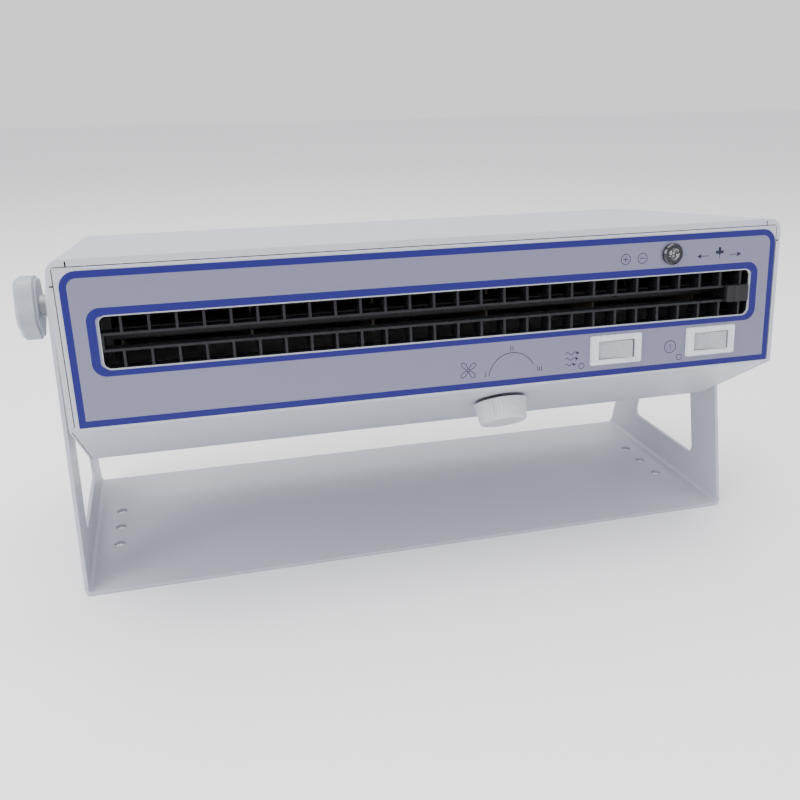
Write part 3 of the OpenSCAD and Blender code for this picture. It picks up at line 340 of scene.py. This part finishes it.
def arc(x, z, radius, start, end):
    """A stroke round a centre, between two angles in degrees."""
    turns = [math.radians(start + (end - start) * k / arc_steps) for k in range(arc_steps + 1)]
    return stroke([(x + radius * math.cos(a), z + radius * math.sin(a)) for a in turns])


def ring(x, z, radius):
    """A whole circle, as two half strokes."""
    return [arc(x, z, radius, start, start + 180) for start in (0, 180)]


def head_arrow(x, z, angle, size):
    """A filled arrow head whose tip is at x and z."""
    a = math.radians(angle)
    points = [(0, 0), (-1, 0.5), (-1, -0.5)]
    return [
        (x + size * (u * math.cos(a) - v * math.sin(a)), z + size * (u * math.sin(a) + v * math.cos(a)))
        for u, v in points
    ]


# The two ion signs beside the lamp
plus_x, minus_x, ion_z, ion_r, ion_arm = 118.8, 130.9, 21.8, 3.3, 1.8
plus_bar = bar(plus_x - ion_arm, ion_z, plus_x + ion_arm, ion_z)
plus_stems = [bar(plus_x, ion_z + way * ion_arm, plus_x, ion_z + way * line / 2) for way in (1, -1)]
minus_bar = bar(minus_x - ion_arm, ion_z, minus_x + ion_arm, ion_z)
sign("sign_plus", ring(plus_x, ion_z, ion_r) + [plus_bar, *plus_stems])
sign("sign_minus", ring(minus_x, ion_z, ion_r) + [minus_bar])

# The way that the finger block slides, and a needle between its two arrows
arrow_z, arrow_size, shaft_gap = 20.5, 3.0, 2.8
for name, tail, tip, angle in [("sign_to_left", 180.4, 171.4, 180), ("sign_to_right", 195.8, 204.9, 0)]:
    shaft_end = tip + math.copysign(shaft_gap, tail - tip)
    sign(name, [bar(tail, arrow_z, shaft_end, arrow_z), head_arrow(tip, arrow_z, angle, arrow_size)])
cross_x, cross_z, arm = 188.4, 22.6, 1.9
cross_reach, cross_top, cross_foot, needle_tip = 3.0, 3.2, 1.6, 3.8
sign("sign_points", [
    bar(cross_x - cross_reach, cross_z, cross_x + cross_reach, cross_z, arm),
    bar(cross_x, cross_z + cross_top, cross_x, cross_z + arm / 2, arm),
    bar(cross_x, cross_z - cross_foot, cross_x, cross_z - arm / 2, arm),
    bar(cross_x, cross_z - needle_tip, cross_x, cross_z - cross_foot),
])

# Warm air and its off mark, then power and its off mark
wave_x, wave_rise, wave_count, wave_steps = 77.0, 0.8, 1.5, 16
wave_arrow, wave_gap, off_r = 2.2, 2.0, 1.9
waves = []
for z, long in [(-37.2, 10.1), (-41.0, 9.6), (-44.8, 7.7)]:
    wave = []
    for t in range(wave_steps + 1):
        rise = wave_rise * math.sin(math.tau * t / wave_steps * wave_count)
        wave.append((wave_x + (long - wave_gap) * t / wave_steps, z + rise))
    waves += [stroke(wave), head_arrow(wave_x + long, z, 0, wave_arrow)]
sign("sign_warm_air", waves)
sign("sign_warm_off", ring(88.6, -46.3, off_r))
power_x, power_z, power_r, power_arm = 154.3, -39.0, 4.2, 2.1
power_bar = bar(power_x, power_z + power_arm, power_x, power_z - power_arm)
sign("sign_power", ring(power_x, power_z, power_r) + [power_bar])
sign("sign_power_off", ring(161.5, -46.8, off_r))

# A four-petalled fan, and the speed knob's arc with one, two and three strokes
fan_x, fan_z, hub, blade = 9.4, -42.0, 0.9, 6.6
petals, petal_steps, petal_start, petal_angle = 4, 12, 10, 62
blades = ring(fan_x, fan_z, hub)
for turn in range(petals):
    petal = []
    for t in range(petal_steps + 1):
        reach = hub + (blade - hub) * math.sin(math.pi * t / petal_steps)
        a = math.radians(360 / petals * turn + petal_start + petal_angle * t / petal_steps)
        petal.append((fan_x + reach * math.cos(a), fan_z + reach * math.sin(a)))
    blades.append(stroke(petal))
sign("sign_fan", blades)

dial_x, dial_z, dial_r, dial_start, dial_end = 39.6, -49.4, 16.4, 26, 172
sign("sign_speed", [arc(dial_x, dial_z, dial_r, dial_start, dial_end)])
mark_pitch, mark_arm = 1.5, 1.6
for name, x, z, count in [
    ("mark_low", 20.8, -46.0, 1),
    ("mark_middle", 39.3, -30.2, 2),
    ("mark_high", 58.6, -45.4, 3),
]:
    mark_x = [x + (k - (count - 1) / 2) * mark_pitch for k in range(count)]
    sign(name, [bar(spot, z - mark_arm, spot, z + mark_arm) for spot in mark_x])

# Outlet grille, point cleaner and black mouldings
# The grille is one glossy black moulding of thin bars. Behind it the needles' brush runs on a black nylon
# carriage, whose finger block comes out through the channel between the two rows.
gloss_black = Finish("gloss_black", (0.01, 0.01, 0.012), 0.25, Specular_IOR_Level=0.35)
gloss_black.grain((0.008, 0.008, 0.01), (0.014, 0.014, 0.017), 3.0, (0.18, 0.32), 0.01)
gloss_black.dress("outlet_grille")
matt_black = Finish("matt_black_nylon", (0.012, 0.012, 0.014), 0.45, Specular_IOR_Level=0.3)
matt_black.grain((0.009, 0.009, 0.011), (0.016, 0.016, 0.018), 0.7, (0.4, 0.55), 0.03)
matt_black.dress("cleaner_slider", "spacer_left", "spacer_right", "filter_frame", "power_inlet")
matt_black.dress("fuse_holder", "nut_plate_left", "nut_plate_right")

# Rocker switches
# White glossy rims are pressed into the panel, and each holds a milky rocker that tips from side to side.
rim_white = Finish("switch_rim_white", (0.6, 0.61, 0.66), 0.28)
rim_white.grain((0.58, 0.59, 0.64), (0.62, 0.63, 0.68), 2.5, (0.22, 0.34), 0.01)
rim_white.dress("warm_switch", "power_switch")
milky = Finish("rocker_milky", (0.34, 0.36, 0.40), 0.22, Subsurface_Weight=0.25, Subsurface_Scale=0.004)
milky.grain((0.32, 0.34, 0.38), (0.36, 0.38, 0.42), 3.0, (0.18, 0.28), 0.01)
milky.dress("warm_rocker", "power_rocker")

# Speed knob
# A white moulded knob with fine flutes and a raised pointer, pushed on the regulator's steel shaft.
knob_white = Finish("knob_white", (0.52, 0.53, 0.57), 0.32)
knob_white.grain((0.50, 0.51, 0.55), (0.54, 0.55, 0.59), 2.5, (0.27, 0.38), 0.012)
knob_white.dress("speed_knob")

# Lamp
# A black chromed holder with a clear domed lens, whose inside is cut so that it sparkles when it's off. The
# sparkle is painted into the lens's colour as light and dark facets.
black_chrome = Finish("black_chrome", (0.05, 0.05, 0.055), 0.16, Metallic=0.9)
black_chrome.grain((0.04, 0.04, 0.045), (0.07, 0.07, 0.075), 1.2, (0.1, 0.22), 0.005)
black_chrome.dress("lamp_holder")
lens = Finish("lamp_lens_clear", (0.6, 0.63, 0.66), 0.08, IOR=1.5, Transmission_Weight=0.6)
facets_per_metre = 700.0
facet = lens.node("ShaderNodeTexVoronoi", None, {"Vector": lens.place()[0], "Scale": facets_per_metre})
# Painted glints and painted shade: light facets stand in for the sparkle, dark ones for the shade inside the
# dome.
lens.set("Base Color", lens.mix(facet.above(0.45, 0.2), (0.62, 0.65, 0.68), (0.06, 0.06, 0.07)))
lens.bump(facet, 0.5, 0.9)
lens.dress("lamp_lens")
# The dome stands on the holder's rim, and its foot is a little narrower and sunk into it.
lamp_x, lamp_z, panel_face, rim_out = 152.5, 23.4, -144.0, 3.4
dome_r, dome_h, foot_share, foot_sunk, turns, rises = 3.9, 1.7, 0.9, 0.6, 32, 8
dome_rings = [
    (dome_r * math.cos(a), rim_out + dome_h * math.sin(a))
    for a in (math.pi / 2 * k / rises for k in range(rises))
]
dome_rings.append((dome_r * foot_share, rim_out - foot_sunk))
verts = [
    head_point(lamp_x, panel_face - rim_out - dome_h, lamp_z),
    head_point(lamp_x, panel_face - rim_out + foot_sunk, lamp_z),
]
for radius, out in dome_rings:
    for t in range(turns):
        a = math.tau * t / turns
        across, up = radius * math.cos(a), radius * math.sin(a)
        verts.append(head_point(lamp_x + across, panel_face - out, lamp_z + up))


def on_ring(k, t):
    """The number of a point on one ring of the dome. The two points on its axis come first."""
    return 2 + k * turns + t % turns


faces = []
for t in range(turns):
    for k in range(rises - 1):
        faces.append((on_ring(k, t), on_ring(k, t + 1), on_ring(k + 1, t + 1), on_ring(k + 1, t)))
    faces += [
        (0, on_ring(rises - 1, t), on_ring(rises - 1, t + 1)),
        (1, on_ring(rises, t), on_ring(rises, t + 1)),
        (on_ring(0, t), on_ring(0, t + 1), on_ring(rises, t + 1), on_ring(rises, t)),
    ]
new_piece("lamp_dome", verts, faces, lens, "head")

# Clamp knobs
# Each hand knob is a pale grey five-lobed moulding on a turned steel stud with a knurled collar.
clamp_grey = Finish("clamp_grey", (0.3, 0.33, 0.37), 0.45)
clamp_grey.grain((0.28, 0.31, 0.35), (0.33, 0.355, 0.395), 0.9, (0.38, 0.52), 0.03)
clamp_grey.dress("clamp_knob_left", "clamp_knob_right")
knurled = Finish("knurled_steel", (0.5, 0.5, 0.52), 0.32, Metallic=0.9)
knurls, knurl_pitch, knurl_depth = 38, 1.1, 0.35
_, stud_x, stud_y, stud_z = knurled.place()
around = (stud_z - lift).math("ARCTAN2", stud_y) * (knurls / math.tau)
along = stud_x / (knurl_pitch * mm)
teeth = (around + along).math("PINGPONG", 0.5)
other_teeth = (around - along).math("PINGPONG", 0.5)
knurl = teeth.math("MAXIMUM", other_teeth)
# The grooves between the teeth are painted darker than the crests: painted shade.
knurled.set("Base Color", knurled.mix(knurl * 2, (0.62, 0.62, 0.64), (0.3, 0.3, 0.32)))
knurled.bump(1 - knurl, knurl_depth, 0.8)
knurled.dress("clamp_stud_left", "clamp_stud_right")

# Screws and ground shafts
# Nickel plated pan heads hold the cover and the back. The fan and the speed regulator turn on ground steel.
nickel = Finish("nickel_plate", (0.56, 0.56, 0.58), 0.3, Metallic=1.0)
nickel.grain((0.5, 0.5, 0.52), (0.62, 0.62, 0.64), 1.5, (0.22, 0.38), 0.01)
nickel.dress("side_screws", "rear_screws", "motor_screws", "regulator_nut")
ground = Finish("ground_steel", (0.6, 0.6, 0.62), 0.25, Metallic=1.0)
ground.grain((0.52, 0.52, 0.54), (0.66, 0.66, 0.68), 1.0, (0.18, 0.32), 0.008, (8.0, 1.0, 1.0))
ground.dress("fan_shafts", "regulator_shaft")

# Sheet metal inside
# The scroll, the floor of the duct and the plates that carry the fan are bent from zinc plated sheet.
zinc = Finish("zinc_sheet", (0.5, 0.52, 0.55), 0.4, Metallic=0.85)
spangles_per_metre = 160.0
pattern = {"Vector": zinc.place()[0], "Scale": spangles_per_metre}
spangle = zinc.node("ShaderNodeTexVoronoi", None, pattern, "Color")
tone = zinc.node("ShaderNodeSeparateColor", None, {0: spangle})
zinc.set("Base Color", zinc.mix(tone, (0.44, 0.46, 0.49), (0.6, 0.62, 0.65)))
zinc.set("Roughness", tone * 0.2 + 0.3)
zinc.dress("scroll_wall", "duct_floor", "fan_plate_left", "fan_plate_right")

# Fan and motor
# The cross-flow wheel is dark anodised sheet with curved blades, turned by an enamelled shaded pole motor
# at one end and held in a rubber-mounted bearing at the other.
anodised = Finish("dark_anodised", (0.13, 0.135, 0.145), 0.38, Metallic=0.9)
anodised.grain((0.11, 0.115, 0.125), (0.17, 0.175, 0.185), 2.0, (0.3, 0.46), 0.01, (0.2, 1.0, 1.0))
anodised.dress("impeller")
enamel = Finish("motor_enamel", (0.09, 0.095, 0.105), 0.4)
enamel.grain((0.08, 0.085, 0.095), (0.11, 0.115, 0.125), 1.4, (0.32, 0.46), 0.03)
enamel.dress("fan_motor")
rubber = Finish("bearing_rubber", (0.02, 0.02, 0.022), 0.75)
rubber.grain((0.018, 0.018, 0.02), (0.03, 0.03, 0.033), 0.8, (0.68, 0.85), 0.05)
rubber.dress("fan_bearing")

# Emitter, brush and heater
# Ground needles stand in a dark insulator, and a fibre brush wipes them. Resistance wire is wound on mica
# cards behind them, with a phenolic cut-out beside it.
insulator_and_duct_shade = Finish("dark_insulator_and_duct_shade", (0.016, 0.016, 0.018), 0.5)
insulator_and_duct_shade.grain((0.013, 0.013, 0.015), (0.022, 0.022, 0.024), 2.0, (0.42, 0.58), 0.02)
# The duct's end cheek is zinc sheet, but it gets this near-black finish as painted shade inside the outlet.
insulator_and_duct_shade.dress("emitter_bar", "emitter_brackets", "duct_cheek")
needle = Finish("needle_metal", (0.6, 0.6, 0.62), 0.15, Metallic=1.0)
needle.grain((0.55, 0.55, 0.57), (0.65, 0.65, 0.67), 0.5, (0.1, 0.22))
needle.dress("emitter_points")
bristle = Finish("brush_fibre", (0.03, 0.028, 0.025), 0.8)
bristle.grain((0.02, 0.018, 0.016), (0.06, 0.055, 0.045), 0.4, (0.7, 0.9), 0.3, (1.0, 0.1, 1.0))
bristle.dress("cleaner_brush")
mica = Finish("pressed_mica", (0.16, 0.13, 0.09), 0.45)
mica.grain((0.12, 0.1, 0.07), (0.2, 0.17, 0.12), 1.6, (0.25, 0.5), 0.04)
mica.dress("heater_cards")
heater_wire = Finish("heater_wire", (0.28, 0.24, 0.2), 0.4, Metallic=0.9)
heater_wire.grain((0.24, 0.2, 0.17), (0.34, 0.3, 0.26), 1.0, (0.32, 0.5), 0.01)
heater_wire.dress("heater_coils")
phenolic = Finish("black_phenolic", (0.035, 0.035, 0.04), 0.4)
phenolic.grain((0.03, 0.03, 0.034), (0.05, 0.048, 0.05), 1.0, (0.32, 0.5), 0.02)
phenolic.dress("thermal_cutout", "speed_regulator")

# Circuit board and transformer
# A green laminate board stands on nylon posts, next to a transformer potted in a black block.
laminate = Finish("green_laminate", (0.03, 0.16, 0.07), 0.35)
weave = laminate.noise(0.5, 1.0, (6.0, 1.0, 1.0)) * 0.5 + laminate.noise(0.5, 1.0, (1.0, 6.0, 1.0)) * 0.5
laminate.set("Base Color", laminate.mix(weave.above(0.5, 0.3), (0.02, 0.12, 0.05), (0.04, 0.2, 0.09)))
laminate.set("Roughness", weave * 0.2 + 0.28)
laminate.dress("control_board")
nylon = Finish("natural_nylon", (0.75, 0.74, 0.68), 0.5)
nylon.grain((0.72, 0.71, 0.65), (0.78, 0.77, 0.72), 1.5, (0.42, 0.56), 0.02)
nylon.dress("board_posts")
potting = Finish("black_potting", (0.02, 0.02, 0.024), 0.35)
potting.grain((0.016, 0.016, 0.02), (0.03, 0.03, 0.035), 4.0, (0.25, 0.5), 0.06)
potting.dress("hv_transformer")

# Intake and mains inlet
# Open grey foam lies behind the slots of the back. The inlet's plated pins stand in its black recess.
foam = Finish("open_foam", (0.06, 0.065, 0.075), 0.95)
cells_per_metre = 900.0
cells = foam.node("ShaderNodeTexVoronoi", None, {"Vector": foam.place()[0], "Scale": cells_per_metre})
# The pores are painted darker than the cell walls: painted shade inside them.
foam.set("Base Color", foam.mix(cells.above(0.35, 0.3), (0.015, 0.015, 0.018), (0.1, 0.105, 0.12)))
foam.bump(cells, 0.8)
foam.dress("intake_filter")
plated = Finish("plated_pin", (0.6, 0.57, 0.48), 0.25, Metallic=1.0)
plated.grain((0.55, 0.52, 0.42), (0.66, 0.63, 0.54), 1.0, (0.2, 0.32))
plated.dress("inlet_pins")
